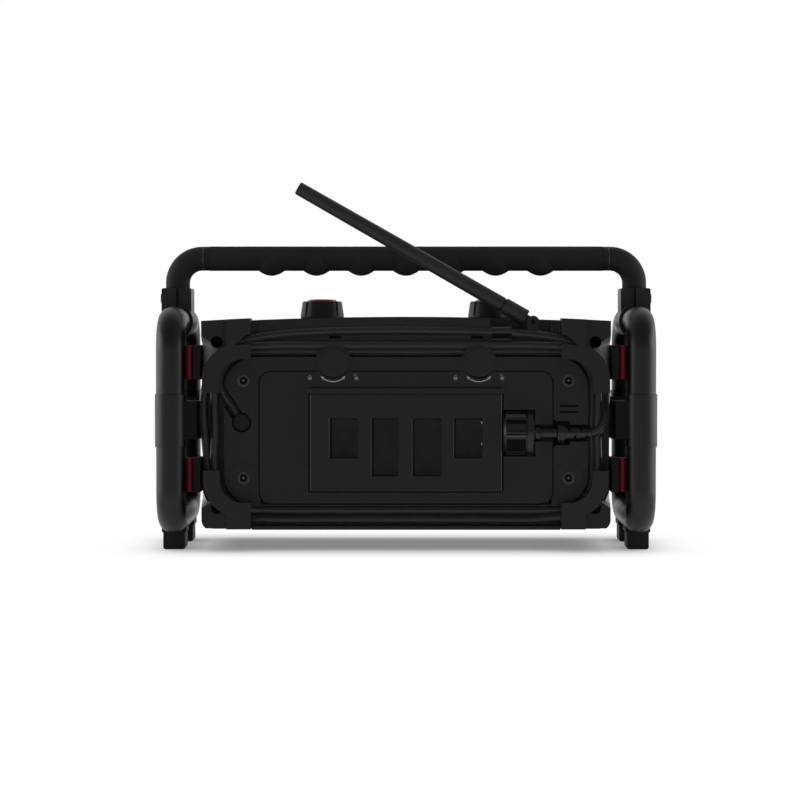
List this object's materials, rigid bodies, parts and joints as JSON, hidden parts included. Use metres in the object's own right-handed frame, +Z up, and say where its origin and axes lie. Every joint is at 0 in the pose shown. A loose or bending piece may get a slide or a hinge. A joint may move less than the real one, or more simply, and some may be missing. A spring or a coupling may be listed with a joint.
{
  "type": "jobsite radio",
  "caption": "Stereo jobsite radio in a tube roll cage, with a carrying handle, a hinged battery cover, a folding antenna and its mains lead wound round the back.",
  "frame": {"origin": "on the floor, under the middle of the box round the whole radio", "axes": "+Y towards the loudspeakers, +Z up, +X towards the side where the mains plug is parked"},
  "size_m": [0.4402, 0.1966, 0.3231],
  "materials": {
    "housing": "finely grained black plastic",
    "guard": "satin black plastic",
    "tube": "satin black powder coat on aluminium tube",
    "soft_black": "matt rubber",
    "red_rubber": "red rubber",
    "red_plastic": "gloss red plastic",
    "cord": "smooth black lead",
    "plug": "satin black moulded plug",
    "steel": "plated steel",
    "screw": "dark plated steel",
    "antenna": "matt grey-black rubber",
    "knob": "satin black plastic",
    "grille": "black powder coat",
    "cone": "coated paper cone",
    "window": "smoked clear window",
    "display": "unlit display",
    "board": "green circuit board",
    "key": "dark grey keys",
    "cell": "printed wrap on a large round cell",
    "core": "varnished core"
  },
  "bodies": {
    "root": {"rear_shell": "housing", "front_shell": "housing", "top_deck": "housing", "corner_guards": "guard", "corner_screws": "screw", "cover_screws": "screw", "left_hoop": "tube", "right_hoop": "tube", "hoop_sleeves": "soft_black", "side_brackets": "guard", "damper_pads": "red_rubber", "damper_bosses": "guard", "handle_tube": "tube", "handle_grip": "soft_black", "handle_sockets": "guard", "socket_screws": "screw", "feet": "soft_black", "cover_hinge_pins": "steel", "lead_gland": "soft_black", "power_lead": "cord", "lead_clip": "housing", "antenna_base": "housing", "antenna_pin": "steel", "encoders": "steel", "left_grille": "grille", "right_grille": "grille", "left_basket": "grille", "right_basket": "grille", "left_cone": "cone", "right_cone": "cone", "left_magnet": "core", "right_magnet": "core", "display_window": "window", "display_panel": "display", "main_board": "board", "mains_transformer": "core", "battery_cells": "cell", "battery_contacts": "steel"},
    "battery_cover": {"battery_cover": "housing", "cover_plate": "housing", "cover_seal": "soft_black", "plug_body": "plug", "plug_pins": "steel", "plug_relief": "plug"},
    "latch_left": {"latch_left": "housing"},
    "latch_right": {"latch_right": "housing"},
    "antenna": {"antenna_sleeve": "antenna", "antenna_whip": "antenna"},
    "volume_control": {"volume_knob": "knob", "volume_cap": "red_plastic", "volume_shaft": "steel"},
    "tuning_control": {"tuning_knob": "knob", "tuning_cap": "red_plastic", "tuning_shaft": "steel"},
    "button_1": {"button_1": "key"},
    "button_2": {"button_2": "key"},
    "button_3": {"button_3": "key"},
    "button_4": {"button_4": "key"},
    "button_5": {"button_5": "key"}
  },
  "joints": [
    {"name": "cover_hinge", "type": "hinge", "parent": "root", "child": "battery_cover", "pos_m": [0, -0.079, 0.0434], "axis": [1, 0, 0], "range_deg": [0, 80]},
    {"name": "latch_left_turn", "type": "hinge", "parent": "root", "child": "latch_left", "pos_m": [-0.0635, -0.0805, 0.1648], "axis": [0, -1, 0], "range_deg": [0, 90]},
    {"name": "latch_right_turn", "type": "hinge", "parent": "root", "child": "latch_right", "pos_m": [0.0635, -0.0805, 0.1648], "axis": [0, -1, 0], "range_deg": [0, 90]},
    {"name": "antenna_elbow", "type": "hinge", "parent": "root", "child": "antenna", "pos_m": [0.1116, -0.056, 0.2006], "axis": [0, 1, 0], "range_deg": [-12, 95]},
    {"name": "volume_turn", "type": "hinge", "parent": "root", "child": "volume_control", "pos_m": [-0.0752, -0.0085, 0.2046], "axis": [0, 0, 1], "continuous": true},
    {"name": "tuning_turn", "type": "hinge", "parent": "root", "child": "tuning_control", "pos_m": [0.0752, -0.0085, 0.2046], "axis": [0, 0, 1], "continuous": true},
    {"name": "button_1_press", "type": "slide", "parent": "root", "child": "button_1", "axis": [0, -1, 0], "range_m": [0, 0.0012], "stiffness_N_per_m": 400, "springref_m": -0.0005},
    {"name": "button_2_press", "type": "slide", "parent": "root", "child": "button_2", "axis": [0, -1, 0], "range_m": [0, 0.0012], "stiffness_N_per_m": 400, "springref_m": -0.0005},
    {"name": "button_3_press", "type": "slide", "parent": "root", "child": "button_3", "axis": [0, -1, 0], "range_m": [0, 0.0012], "stiffness_N_per_m": 400, "springref_m": -0.0005},
    {"name": "button_4_press", "type": "slide", "parent": "root", "child": "button_4", "axis": [0, -1, 0], "range_m": [0, 0.0012], "stiffness_N_per_m": 400, "springref_m": -0.0005},
    {"name": "button_5_press", "type": "slide", "parent": "root", "child": "button_5", "axis": [0, -1, 0], "range_m": [0, 0.0012], "stiffness_N_per_m": 400, "springref_m": -0.0005}
  ]
}
